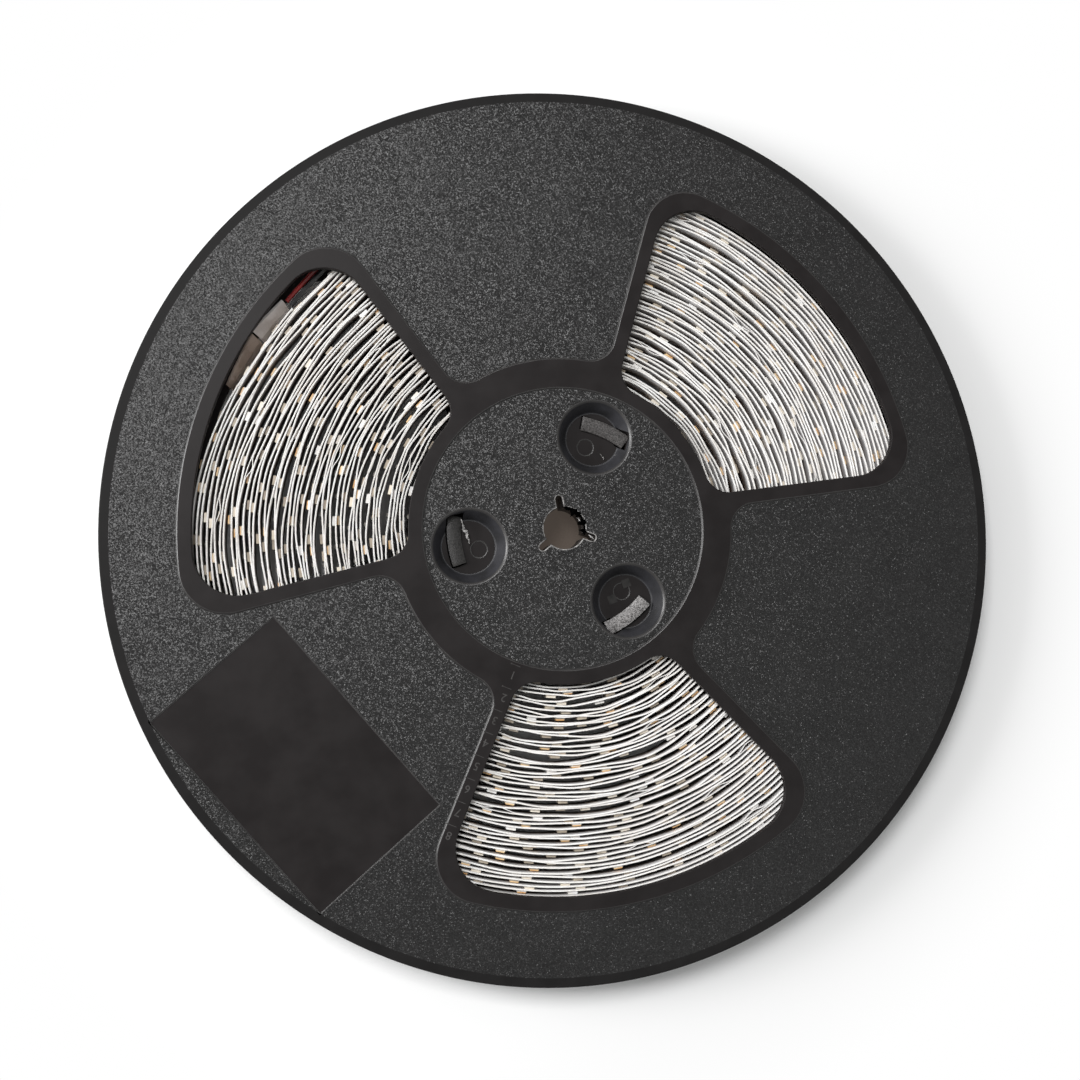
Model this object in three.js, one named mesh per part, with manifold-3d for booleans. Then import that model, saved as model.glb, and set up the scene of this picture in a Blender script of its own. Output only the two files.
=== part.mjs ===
// A plastic reel of two snap-together halves, with a long roll of LED strip wound on its core.
//
// The reel lies on its rear flange: its axis is Z, it rests at z = 0 and the origin is on the
// axis. One spoke of each flange points along +Y. All sizes are in millimetres.

import * as THREE from "three";
import { mergeVertices } from "three/addons/utils/BufferGeometryUtils.js";
import Module from "manifold-3d";

const wasm = await Module();
wasm.setup();

const degrees = THREE.MathUtils.degToRad;

// Reel
const REEL_RADIUS = 140;
const PANEL_THICKNESS = 1.6;
const FRAME_HEIGHT = 0.5;
const RIM_BEVEL = 0.5;
const SEAM_GAP = 0.3;

// Hub
const BORE_RADIUS = 6.6;
const KEYWAY_DEPTH = 3.65;
const KEYWAY_WIDTH = 2.1;
const BOSS_WALL = 2.4;
const CORE_RADIUS = 45;
const CORE_WALL = 1.8;
const HUB_FACE_INSET = 0.95;
const HUB_RING_WIDTH = 9.7;

// Windows, and the raised frames around them
const SPOKES = 3;
const SPOKE_HALF_ANGLE = degrees(26.52);
const WINDOW_CORE_LEDGE = 3.6;
const WINDOW_RIM_WIDTH = 27;
const WINDOW_SIDE_INSET = 4.45;
const WINDOW_INNER_FILLET = 8;
const WINDOW_OUTER_FILLET = 13.5;
const FRAME_WIDTH = 4.5;
const FRAME_OUTER_FILLET = 14;
const FRAME_NECK_FILLET = 8;

// Label recess on one spoke
const LABEL_RIM_WIDTH = 8.15;
const LABEL_LENGTH = 75.8;
const LABEL_WIDTH = 47.1;
const LABEL_DEPTH = 0.3;

// Pockets in the hub, with a slot in the floor of each
const POCKET_MOUTH_RADIUS = 11.6;
const POCKET_FLOOR_RADIUS = 8.7;
const POCKET_CORE_ROOM = 0.2;
const POCKET_SEAM_ROOM = 0.55;
const POCKET_FLOOR_THICKNESS = 1.1;
const POCKET_WALL = 1.1;
const POCKET_LIP = 0.35;
const EJECTOR_RADIUS = 2.6;
const EJECTOR_DEPTH = 0.25;
const EJECTOR_OFFSET = 3.35;
const EJECTOR_TURN = degrees(-22);

// Latches, which come up through the slots of the other half and hook over its pocket floors
const LATCH_OFFSET = 4.05;
const LATCH_WIDTH = 4.5;
const LATCH_LENGTH = 15.4;
const LATCH_LAG = degrees(4.7);
const LATCH_CLEARANCE = 0.35;
const HOOK_REACH = 0.9;
const HOOK_HEIGHT = 0.9;
const HOOK_LIP = 0.4;
const SLOT_END_ROOM = 1.3;
const SLOT_NOTCH_LENGTH = 4;

// Wound strip, pulled flat where its last turn ends
const STRIP_WIDTH = 8;
const STRIP_SIDE_ROOM = 0.9;
const TURN_PITCH = 1.42;
const TURNS = 49;
const WINDING_CLEARANCE = 0.3;
const STRIP_END_ANGLE = degrees(130);
const FLAT_ANGLE = degrees(132);
const FLAT_HALF_WIDTH = degrees(42);
const FLAT_DEPTH = 5.5;

// Tag and tape on the end of the strip, and its lead wires
const END_CLEARANCE = 0.3;
const TAG_LENGTH = 13.5;
const TAG_THICKNESS = 0.6;
const TAG_LEAN = [2.1, 3.5];
const TAPE_LENGTH = 18;
const TAPE_THICKNESS = 0.4;
const TAPE_LEAN = [3.2, 1.2];
const LEAD_DIAMETER = 1.5;
const LEAD_LENGTH = 100;
const LEAD_DROP = 1.1;

// Facets
const RIM_STEPS = 120;
const RING_STEPS = 60;
const BORE_STEPS = 30;
const POCKET_STEPS = 28;
const EJECTOR_STEPS = 16;
const ARC_STEP = degrees(5);
const FILLET_STEPS = 5;
const LEAD_SIDES = 8;
const LEAD_STEPS = 27;
const PLATE_STEPS = 10;
const PLATE_ROWS = 2;
const CUT_MARGIN = 1;

// Heights in the frame of one half, whose seam is z = 0 and whose outer face is up
const SEAM = SEAM_GAP / 2;
const PANEL_INNER = STRIP_WIDTH / 2 + STRIP_SIDE_ROOM;
const PANEL_OUTER = PANEL_INNER + PANEL_THICKNESS;
const HALF_HEIGHT = PANEL_OUTER + FRAME_HEIGHT;
const PANEL_MIDDLE = (PANEL_INNER + PANEL_OUTER) / 2;
const POCKET_UNDERSIDE = SEAM + POCKET_SEAM_ROOM;
const POCKET_FLOOR = POCKET_UNDERSIDE + POCKET_FLOOR_THICKNESS;

const SPOKE_STEP = (2 * Math.PI) / SPOKES;
const FIRST_SPOKE = Math.PI / 2;
const FIRST_WINDOW = FIRST_SPOKE - SPOKE_STEP / 2;
const FIRST_POCKET = FIRST_SPOKE - SPOKE_STEP / 4;
const LABEL_ANGLE = FIRST_SPOKE + SPOKE_STEP;

// Radii that follow from the bore, the core and the rim
const KEYWAY_TIP_RADIUS = BORE_RADIUS + KEYWAY_DEPTH;
const CORE_INNER_RADIUS = CORE_RADIUS - CORE_WALL;
const POCKET_CENTRE_RADIUS = CORE_INNER_RADIUS - POCKET_CORE_ROOM - POCKET_WALL - POCKET_MOUTH_RADIUS;
const LATCH_RADIUS = POCKET_CENTRE_RADIUS + LATCH_OFFSET;
const HUB_FACE_RADIUS = CORE_RADIUS - HUB_FACE_INSET;
const HUB_RING_RADIUS = HUB_FACE_RADIUS + HUB_RING_WIDTH;
const WINDOW_INNER_RADIUS = CORE_RADIUS + WINDOW_CORE_LEDGE;
const WINDOW_OUTER_RADIUS = REEL_RADIUS - WINDOW_RIM_WIDTH;
const WINDOW_HALF_ANGLE = SPOKE_STEP / 2 - SPOKE_HALF_ANGLE;
const LABEL_RADIUS = REEL_RADIUS - LABEL_RIM_WIDTH - LABEL_WIDTH / 2;
const ROLL_INNER_RADIUS = CORE_RADIUS + WINDING_CLEARANCE;
const ROLL_RADIUS = ROLL_INNER_RADIUS + TURN_PITCH * TURNS;

// Joins and cuts

function solidOf(geometry) {
  const bare = geometry.clone();
  bare.deleteAttribute("normal");
  bare.deleteAttribute("uv");
  const merged = mergeVertices(bare);
  return new wasm.Manifold(new wasm.Mesh({
    numProp: 3,
    vertProperties: new Float32Array(merged.attributes.position.array),
    triVerts: new Uint32Array(merged.index.array),
  }));
}

function geometryOf(solid) {
  const mesh = solid.getMesh();
  const geometry = new THREE.BufferGeometry();
  geometry.setAttribute("position", new THREE.BufferAttribute(mesh.vertProperties, 3));
  geometry.setIndex(new THREE.BufferAttribute(mesh.triVerts, 1));
  geometry.computeVertexNormals();
  return geometry;
}

function joined(solids) {
  return solids.reduce((sum, solid) => sum.add(solid));
}

function polar(radius, angle) {
  return new THREE.Vector2(radius * Math.cos(angle), radius * Math.sin(angle));
}

function arc(centre, radius, from, to) {
  const steps = Math.max(FILLET_STEPS, Math.ceil(Math.abs(to - from) / ARC_STEP));
  return Array.from({ length: steps + 1 }, (_, i) => (
    polar(radius, from + ((to - from) * i) / steps).add(centre)
  ));
}

function mirrored(points) {
  return points.map((point) => new THREE.Vector2(point.x, -point.y)).reverse();
}

// A closed profile of [radius, height] pairs, turned about the Z axis.

function turned(profile, steps) {
  const points = profile.map(([radius, height]) => new THREE.Vector2(radius, height));
  return new THREE.LatheGeometry(points, steps).rotateX(Math.PI / 2);
}

function disc(radius, bottom, top, steps) {
  return turned([[0, bottom], [radius, bottom], [radius, top], [0, top]], steps);
}

function raised(points, bottom, top) {
  const shape = new THREE.Shape(points);
  const geometry = new THREE.ExtrudeGeometry(shape, { depth: top - bottom, bevelEnabled: false });
  return geometry.translate(0, 0, bottom);
}

function around(first, make) {
  return Array.from({ length: SPOKES }, (_, i) => make(first + i * SPOKE_STEP));
}

// A window has its middle on +X here. Its upper side runs at WINDOW_HALF_ANGLE, a set distance
// nearer the middle than the line through the axis. This gives the point of a parallel line,
// `inset` nearer the middle, that lies `reach` from the axis.

function besideWindow(inset, reach) {
  const run = Math.sqrt(reach ** 2 - inset ** 2);
  return polar(run, WINDOW_HALF_ANGLE).add(polar(inset, WINDOW_HALF_ANGLE - Math.PI / 2));
}

const AXIS = new THREE.Vector2();
const SIDE_NORMAL = WINDOW_HALF_ANGLE + Math.PI / 2;

function windowOutline() {
  const outer = besideWindow(
    WINDOW_SIDE_INSET + WINDOW_OUTER_FILLET,
    WINDOW_OUTER_RADIUS - WINDOW_OUTER_FILLET,
  );
  const inner = besideWindow(
    WINDOW_SIDE_INSET + WINDOW_INNER_FILLET,
    WINDOW_INNER_RADIUS + WINDOW_INNER_FILLET,
  );
  const end = outer.angle();
  const start = inner.angle();
  const upper = [
    ...arc(outer, WINDOW_OUTER_FILLET, end, SIDE_NORMAL),
    ...arc(inner, WINDOW_INNER_FILLET, SIDE_NORMAL, start + Math.PI),
  ];
  return [
    ...arc(AXIS, WINDOW_OUTER_RADIUS, -end, end).slice(1, -1),
    ...upper,
    ...arc(AXIS, WINDOW_INNER_RADIUS, start, -start).slice(1, -1),
    ...mirrored(upper),
  ];
}

// The frames stand FRAME_WIDTH outside the windows and run into the ring round the hub face,
// with a hollow fillet where they meet it.

const FRAME_SIDE_INSET = WINDOW_SIDE_INSET - FRAME_WIDTH;
const FRAME_OUTER_RADIUS = WINDOW_OUTER_RADIUS + FRAME_WIDTH;

function frameOutline() {
  const outer = besideWindow(
    FRAME_SIDE_INSET + FRAME_OUTER_FILLET,
    FRAME_OUTER_RADIUS - FRAME_OUTER_FILLET,
  );
  const neck = besideWindow(
    FRAME_SIDE_INSET - FRAME_NECK_FILLET,
    HUB_RING_RADIUS + FRAME_NECK_FILLET,
  );
  const end = outer.angle();
  const upper = [
    ...arc(outer, FRAME_OUTER_FILLET, end, SIDE_NORMAL),
    ...arc(neck, FRAME_NECK_FILLET, SIDE_NORMAL - Math.PI, neck.angle() - Math.PI),
  ];
  const sector = [
    ...arc(AXIS, FRAME_OUTER_RADIUS, -end, end).slice(1, -1),
    ...upper,
    ...arc(AXIS, HUB_RING_RADIUS, neck.angle(), SPOKE_STEP - neck.angle()).slice(1, -1),
  ];
  const lower = mirrored(upper);
  return around(FIRST_WINDOW, (angle) => (
    [...lower, ...sector].map((point) => point.clone().rotateAround(AXIS, angle))
  )).flat();
}

// The axis hole with its three keyways, which have round ends

function boreCut() {
  const bottom = -HALF_HEIGHT;
  const top = HALF_HEIGHT + CUT_MARGIN;
  const half = KEYWAY_WIDTH / 2;
  const keyway = [
    new THREE.Vector2(0, -half),
    ...arc(new THREE.Vector2(KEYWAY_TIP_RADIUS - half, 0), half, -Math.PI / 2, Math.PI / 2),
    new THREE.Vector2(0, half),
  ];
  const keyways = around(FIRST_SPOKE, (angle) => (
    solidOf(raised(keyway, bottom, top).rotateZ(angle))
  ));
  return joined([solidOf(disc(BORE_RADIUS, bottom, top, BORE_STEPS)), ...keyways]);
}

// A pocket is a cup with a sloping wall, here on the axis: its body and its hollow

function pocketBody() {
  return turned([
    [0, POCKET_UNDERSIDE],
    [POCKET_FLOOR_RADIUS + POCKET_WALL, POCKET_UNDERSIDE],
    [POCKET_MOUTH_RADIUS + POCKET_WALL, PANEL_MIDDLE],
    [0, PANEL_MIDDLE],
  ], POCKET_STEPS);
}

function pocketHollow() {
  return turned([
    [0, POCKET_FLOOR],
    [POCKET_FLOOR_RADIUS, POCKET_FLOOR],
    [POCKET_MOUTH_RADIUS - POCKET_LIP, PANEL_OUTER - POCKET_LIP],
    [POCKET_MOUTH_RADIUS, PANEL_OUTER],
    [POCKET_MOUTH_RADIUS, PANEL_OUTER + CUT_MARGIN],
    [0, PANEL_OUTER + CUT_MARGIN],
  ], POCKET_STEPS);
}

function atPocket(geometry, angle) {
  const place = polar(POCKET_CENTRE_RADIUS, angle);
  return solidOf(geometry.translate(place.x, place.y, 0));
}

function ejectorCut(angle) {
  const floor = POCKET_FLOOR - EJECTOR_DEPTH;
  const place = polar(EJECTOR_OFFSET, angle + Math.PI + EJECTOR_TURN);
  const mark = disc(EJECTOR_RADIUS, floor, PANEL_OUTER, EJECTOR_STEPS);
  return atPocket(mark.translate(place.x, place.y, 0), angle);
}

// An upright curved block about the axis, for the slots and for trimming the latches. Its
// ends are given as lengths along the latches' circle.

function curvedBlock(inner, outer, from, to, bottom, top) {
  const outline = [
    ...arc(AXIS, outer, from / LATCH_RADIUS, to / LATCH_RADIUS),
    ...arc(AXIS, inner, to / LATCH_RADIUS, from / LATCH_RADIUS),
  ];
  return raised(outline, bottom, top);
}

const LATCH_INNER = LATCH_RADIUS - LATCH_WIDTH / 2;
const LATCH_OUTER = LATCH_RADIUS + LATCH_WIDTH / 2;

// A slot fits the stem of its latch, with room past one end and a notch there for the hook.
// It cuts the cup of its pocket, and above the panel's inner face stays inside the mouth.

function slotCut(angle) {
  const bottom = POCKET_UNDERSIDE - CUT_MARGIN;
  const top = PANEL_OUTER + CUT_MARGIN;
  const outer = LATCH_OUTER + LATCH_CLEARANCE;
  const stemInner = LATCH_INNER + HOOK_REACH - LATCH_CLEARANCE;
  const start = -LATCH_LENGTH / 2 - SLOT_END_ROOM;
  const end = LATCH_LENGTH / 2 + LATCH_CLEARANCE;
  const notchInner = LATCH_INNER - LATCH_CLEARANCE;
  const notchEnd = start + SLOT_NOTCH_LENGTH;
  const slot = curvedBlock(stemInner, outer, start, end, bottom, top);
  const notch = curvedBlock(notchInner, outer, start, notchEnd, bottom, top);
  const both = joined([slot, notch].map((geometry) => (
    solidOf(geometry.rotateZ(angle - LATCH_LAG))
  )));
  const cup = disc(LATCH_OUTER, bottom, PANEL_INNER, POCKET_STEPS);
  const mouth = disc(POCKET_MOUTH_RADIUS - POCKET_LIP, bottom, top, POCKET_STEPS);
  return both.intersect(atPocket(cup, angle).add(atPocket(mouth, angle)));
}

// A latch hangs from the panel at the place of the other half's slot, as that half is turned
// over about the Y axis. Its hook has a sloping back.

function latch(angle) {
  const hookBase = -POCKET_FLOOR - LATCH_CLEARANCE;
  const tip = hookBase - HOOK_HEIGHT;
  const section = turned([
    [LATCH_RADIUS, tip],
    [LATCH_OUTER, tip],
    [LATCH_OUTER, PANEL_MIDDLE],
    [LATCH_INNER + HOOK_REACH, PANEL_MIDDLE],
    [LATCH_INNER + HOOK_REACH, hookBase],
    [LATCH_INNER, hookBase],
    [LATCH_INNER, hookBase - HOOK_LIP],
    [LATCH_RADIUS, tip],
  ], RING_STEPS);
  const block = curvedBlock(
    LATCH_INNER - CUT_MARGIN,
    LATCH_OUTER + CUT_MARGIN,
    -LATCH_LENGTH / 2,
    LATCH_LENGTH / 2,
    -HALF_HEIGHT,
    HALF_HEIGHT,
  ).rotateZ(Math.PI - angle + LATCH_LAG);
  return solidOf(section).intersect(solidOf(block));
}

function labelCut() {
  const geometry = new THREE.BoxGeometry(LABEL_WIDTH, LABEL_LENGTH, LABEL_DEPTH + CUT_MARGIN);
  const place = PANEL_OUTER - LABEL_DEPTH + (LABEL_DEPTH + CUT_MARGIN) / 2;
  return solidOf(geometry.translate(LABEL_RADIUS, 0, place).rotateZ(LABEL_ANGLE));
}

function flangePlate() {
  return turned([
    [0, PANEL_INNER],
    [REEL_RADIUS - RIM_BEVEL, PANEL_INNER],
    [REEL_RADIUS, PANEL_INNER + RIM_BEVEL],
    [REEL_RADIUS, PANEL_OUTER - RIM_BEVEL],
    [REEL_RADIUS - RIM_BEVEL, PANEL_OUTER],
    [0, PANEL_OUTER],
  ], RIM_STEPS);
}

function coreWall() {
  return turned([
    [CORE_INNER_RADIUS, SEAM],
    [CORE_RADIUS, SEAM],
    [CORE_RADIUS, PANEL_MIDDLE],
    [CORE_INNER_RADIUS, PANEL_MIDDLE],
    [CORE_INNER_RADIUS, SEAM],
  ], RING_STEPS);
}

// One half of the reel, moulded in one piece

function halfReel() {
  const boss = disc(KEYWAY_TIP_RADIUS + BOSS_WALL, SEAM, PANEL_MIDDLE, BORE_STEPS);
  const frame = raised(frameOutline(), PANEL_MIDDLE, HALF_HEIGHT);
  const hubFace = disc(HUB_FACE_RADIUS, PANEL_OUTER, HALF_HEIGHT + CUT_MARGIN, RING_STEPS);
  const body = joined([
    solidOf(flangePlate()),
    solidOf(frame).subtract(solidOf(hubFace)),
    solidOf(coreWall()),
    solidOf(boss),
    ...around(FIRST_POCKET, (angle) => atPocket(pocketBody(), angle)),
    ...around(FIRST_POCKET, latch),
  ]);
  const cuts = joined([
    boreCut(),
    labelCut(),
    ...around(FIRST_WINDOW, (angle) => (
      solidOf(raised(windowOutline(), 0, HALF_HEIGHT + CUT_MARGIN).rotateZ(angle))
    )),
    ...around(FIRST_POCKET, (angle) => atPocket(pocketHollow(), angle)),
    ...around(FIRST_POCKET, ejectorCut),
    ...around(FIRST_POCKET, slotCut),
  ]);
  return geometryOf(body.subtract(cuts));
}

// Radius of the outer face of the strip at an angle, `turns` before its end. The turns near
// the outside are pulled flat round FLAT_ANGLE, and those at the core are round.

function stripRadius(angle, turns) {
  const round = ROLL_RADIUS - TURN_PITCH * turns;
  const away = Math.abs(THREE.MathUtils.euclideanModulo(
    angle - FLAT_ANGLE + Math.PI,
    2 * Math.PI,
  ) - Math.PI);
  const pull = away < FLAT_HALF_WIDTH ? Math.cos((Math.PI / 2) * (away / FLAT_HALF_WIDTH)) ** 2 : 0;
  return round - FLAT_DEPTH * pull * ((TURNS - turns) / TURNS) ** 2;
}

// The winding is one block with the outline of its last turn outside and of its first inside.
// Each is a spiral of one turn, with a step where the strip ends.

function windingGeometry() {
  const spiral = (turns) => Array.from({ length: RIM_STEPS + 1 }, (_, i) => {
    const angle = STRIP_END_ANGLE + (2 * Math.PI * i) / RIM_STEPS;
    return polar(stripRadius(angle, turns + i / RIM_STEPS), angle);
  });
  const shape = new THREE.Shape(spiral(0));
  shape.holes.push(new THREE.Path(spiral(TURNS - 1)));
  return new THREE.ExtrudeGeometry(shape, { depth: STRIP_WIDTH, bevelEnabled: false });
}

// A plate that lies along the last turn from an angle on, upright at its foot and leaning out
// at its top, by lean[0] at its start and lean[1] at its end

function leaningPlate(start, length, thickness, lean) {
  const geometry = new THREE.BoxGeometry(1, 1, 1, PLATE_STEPS, 1, PLATE_ROWS);
  const position = geometry.translate(0.5, 0.5, 0.5).attributes.position;
  for (let i = 0; i < position.count; i += 1) {
    const along = position.getX(i);
    const height = position.getZ(i);
    const angle = start + (length / ROLL_RADIUS) * along;
    const foot = stripRadius(angle, 0) + END_CLEARANCE;
    const tilt = THREE.MathUtils.lerp(lean[0], lean[1], along) * height ** 2;
    const point = polar(foot + tilt + thickness * (1 - position.getY(i)), angle);
    position.setXYZ(i, point.x, point.y, STRIP_WIDTH * height);
  }
  return geometry;
}

// A lead wire lies on the roll beyond the end of the strip, `rank` wires out from it. Going
// back from that end, the turn below slowly rises by a pitch a turn.

const END_GAP_ANGLE = END_CLEARANCE / CORE_RADIUS;

class LeadRoute extends THREE.Curve {
  constructor(rank) {
    super();
    this.rank = rank;
  }

  getPoint(t, target = new THREE.Vector3()) {
    const back = END_GAP_ANGLE + (t * LEAD_LENGTH) / ROLL_RADIUS;
    const angle = STRIP_END_ANGLE - back;
    const below = stripRadius(angle, 1 - back / (2 * Math.PI));
    const seat = below + END_CLEARANCE + LEAD_DIAMETER / 2;
    const point = polar(seat + this.rank * (LEAD_DIAMETER + END_CLEARANCE), angle);
    return target.set(point.x, point.y, STRIP_WIDTH - LEAD_DROP);
  }
}

function leadGeometry(rank) {
  const ring = Array.from({ length: LEAD_SIDES }, (_, i) => (
    polar(LEAD_DIAMETER / 2, (2 * Math.PI * i) / LEAD_SIDES)
  ));
  return new THREE.ExtrudeGeometry(new THREE.Shape(ring), {
    steps: LEAD_STEPS,
    extrudePath: new LeadRoute(rank),
    bevelEnabled: false,
  });
}

// Materials and the finished reel

function material(color, roughness) {
  return new THREE.MeshStandardMaterial({ color, roughness, metalness: 0 });
}

function piece(name, geometry, finish) {
  const mesh = new THREE.Mesh(geometry, finish);
  mesh.name = name;
  return mesh;
}

const blackPlastic = material(0x2c2a2a, 0.5);
const half = halfReel();

const front = piece("front_flange", half, blackPlastic);
front.position.z = HALF_HEIGHT;

const rear = piece("rear_flange", half, blackPlastic);
rear.rotation.y = Math.PI;
rear.position.z = HALF_HEIGHT;

const tapeStart = STRIP_END_ANGLE + TAG_LENGTH / ROLL_RADIUS + END_GAP_ANGLE;

const winding = new THREE.Group();
winding.position.z = HALF_HEIGHT - STRIP_WIDTH / 2;
winding.add(
  piece("led_strip_roll", windingGeometry(), material(0xe8e2d8, 0.5)),
  piece(
    "strip_end_tag",
    leaningPlate(STRIP_END_ANGLE, TAG_LENGTH, TAG_THICKNESS, TAG_LEAN),
    material(0xe2dedb, 0.45),
  ),
  piece(
    "tail_tape",
    leaningPlate(tapeStart, TAPE_LENGTH, TAPE_THICKNESS, TAPE_LEAN),
    material(0x8a6f5c, 0.3),
  ),
  piece("black_lead_wire", leadGeometry(0), material(0x2b2a2b, 0.35)),
  piece("red_lead_wire", leadGeometry(1), material(0x8e1a1a, 0.35)),
);

const reel = new THREE.Group();
reel.add(front, rear, winding);

export default reel;
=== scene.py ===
"""The looks of a plastic reel with a long roll of LED strip wound between its two halves.

Sizes are in millimetres and angles in radians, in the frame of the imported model. MM turns a
length into metres where a mesh, a lamp or the camera is made.
"""

import math
import random

import bmesh
import bpy
from mathutils import Matrix, Vector, noise
from mathutils.geometry import tessellate_polygon


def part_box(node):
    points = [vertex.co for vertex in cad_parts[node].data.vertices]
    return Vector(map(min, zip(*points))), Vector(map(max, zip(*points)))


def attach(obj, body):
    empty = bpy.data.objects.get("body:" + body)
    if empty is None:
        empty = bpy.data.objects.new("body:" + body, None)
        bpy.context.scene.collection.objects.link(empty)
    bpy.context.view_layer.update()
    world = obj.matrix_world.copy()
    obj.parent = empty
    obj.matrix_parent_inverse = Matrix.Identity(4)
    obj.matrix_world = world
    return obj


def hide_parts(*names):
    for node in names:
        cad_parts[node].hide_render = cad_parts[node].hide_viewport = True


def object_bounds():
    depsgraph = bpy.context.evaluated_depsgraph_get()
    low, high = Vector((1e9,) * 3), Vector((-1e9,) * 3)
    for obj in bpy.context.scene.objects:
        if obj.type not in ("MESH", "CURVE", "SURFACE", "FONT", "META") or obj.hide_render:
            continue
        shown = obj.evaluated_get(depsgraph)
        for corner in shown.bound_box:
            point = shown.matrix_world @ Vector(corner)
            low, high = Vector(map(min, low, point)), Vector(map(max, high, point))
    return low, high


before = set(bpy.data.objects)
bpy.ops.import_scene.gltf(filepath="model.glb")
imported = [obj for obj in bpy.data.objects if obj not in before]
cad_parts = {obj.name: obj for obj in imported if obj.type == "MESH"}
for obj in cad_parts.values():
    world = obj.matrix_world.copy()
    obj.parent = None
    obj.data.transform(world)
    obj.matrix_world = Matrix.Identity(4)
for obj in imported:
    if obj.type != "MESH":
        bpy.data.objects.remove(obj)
cad_low, cad_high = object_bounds()

MM = 0.001
TURN = 2 * math.pi


# Sizes of the reel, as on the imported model

def node_size(node):
    low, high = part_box(node)
    return (high - low) / MM


REEL_RADIUS = node_size("front_flange").x / 2
HALF_HEIGHT = (cad_high - cad_low).z / MM / 2
STRIP_WIDTH = node_size("led_strip_roll").z
PANEL_THICKNESS = 1.6
FRAME_HEIGHT = 0.5
RIM_BEVEL = 0.5
RIM_BAND_WIDTH = 3.0
SEAM = 0.15

PANEL_OUTER = HALF_HEIGHT - FRAME_HEIGHT
PANEL_INNER = PANEL_OUTER - PANEL_THICKNESS

BORE_RADIUS = 6.6
KEYWAY_TIP_RADIUS = 10.25
KEYWAY_WIDTH = 2.1
BOSS_RADIUS = 12.65
CORE_RADIUS = 45.0
CORE_INNER_RADIUS = 43.2
HUB_FACE_RADIUS = 44.05
HUB_RING_RADIUS = 53.75

SPOKES = 3
SPOKE_STEP = TURN / SPOKES
FIRST_SPOKE = TURN / 4
FIRST_WINDOW = FIRST_SPOKE - SPOKE_STEP / 2
FIRST_POCKET = FIRST_SPOKE - SPOKE_STEP / 4
LABEL_ANGLE = FIRST_SPOKE + SPOKE_STEP

WINDOW_INNER_RADIUS = 48.6
WINDOW_OUTER_RADIUS = REEL_RADIUS - 27
WINDOW_HALF_ANGLE = math.radians(33.48)
WINDOW_SIDE_INSET = 4.45
WINDOW_INNER_FILLET = 8
WINDOW_OUTER_FILLET = 13.5
FRAME_WIDTH = 4.5
FRAME_OUTER_FILLET = 14
FRAME_NECK_FILLET = 8

# The shoulder of a low step, as (distance out, share of the way down)
STEP_SHAPE = (
    (-0.42, 0), (-0.4, 0), (-0.34, 0.04), (-0.14, 0.22), (-0.03, 0.44),
    (0.02, 0.8), (0.1, 0.96), (0.14, 1), (0.16, 1),
)

# Radii of the rounded edges, as (upper, lower)
WINDOW_EDGES = (0.25, 0.2)
LABEL_EDGES = (0.16, 0.12)
BORE_EDGES = (0.3, 0.1)
EJECTOR_EDGES = (0.1, 0.06)
BORE_LIP_POINTS = 5

LABEL_RADIUS = 108.3
LABEL_LENGTH = 75.8
LABEL_WIDTH = 47.1
LABEL_DEPTH = 0.3

POCKET_CENTRE_RADIUS = 30.3
POCKET_MOUTH_RADIUS = 11.6
POCKET_FLOOR_RADIUS = 8.7
POCKET_FLOOR = 1.8
POCKET_UNDERSIDE = 0.7
POCKET_WALL = 1.1
POCKET_LIP = 0.35
# The rounded mouth and foot of a pocket, as (distance out, depth) and (distance out, height)
POCKET_MOUTH_SHAPE = (
    (0.5, 0), (0.4, 0), (0.2, 0.04), (0.05, 0.12), (-0.15, 0.3), (-POCKET_LIP, POCKET_LIP + 0.1),
)
POCKET_CONE_TOP = (-0.45, 0.6)
POCKET_FOOT_SHAPE = ((0.2, 0.45), (0.1, 0.2), (-0.1, 0.03), (-0.3, 0), (-0.4, 0))
EJECTOR_RADIUS = 2.6
EJECTOR_DEPTH = 0.25
EJECTOR_OFFSET = 3.35
EJECTOR_TURN = math.radians(-22)

LATCH_RADIUS = 34.35
LATCH_WIDTH = 4.5
LATCH_LENGTH = 15.4
LATCH_LAG = math.radians(4.7)
LATCH_CLEARANCE = 0.35
LATCH_ROOT = 0.4
LATCH_BEVEL = 0.14
LATCH_STEPS = 16
HOOK_REACH = 0.9
HOOK_HEIGHT = 0.9
HOOK_LIP = 0.4
SLOT_END_ROOM = 1.3
SLOT_NOTCH_LENGTH = 4.0

NUMBER_COUNT = 8
NUMBER_STEP = 7.4
FIRST_TICK = 45.2
NUMBER_LEAD = 3.1
NUMBER_ACROSS = 2.5
NUMBER_SIZE = 3.6
NUMBER_HEIGHT = 0.04
TICK_START = 1.3
TICK_LENGTH = 2.9
TICK_WIDTH = 0.16
TICK_DOT = 0.4

TORN_ANGLES = (math.radians(-34), math.radians(84))
TORN_REACH = 2.2
TORN_LEAST = 0.5
TORN_BACK = 0.45
TORN_THICKNESS = 0.8
TORN_LIFT = 0.03
TORN_SAG = 0.3
TORN_CURL = 0.4
TORN_EVENNESS = 0.62
TORN_STEPS = 150
# Both sides of the lip, as (height, waves per radian, seed)
TORN_INNER_WAVES = ((1, 4, 0), (0.4, 11, 3))
TORN_OUTER_WAVES = ((0.6, 12, 8),)

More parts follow.
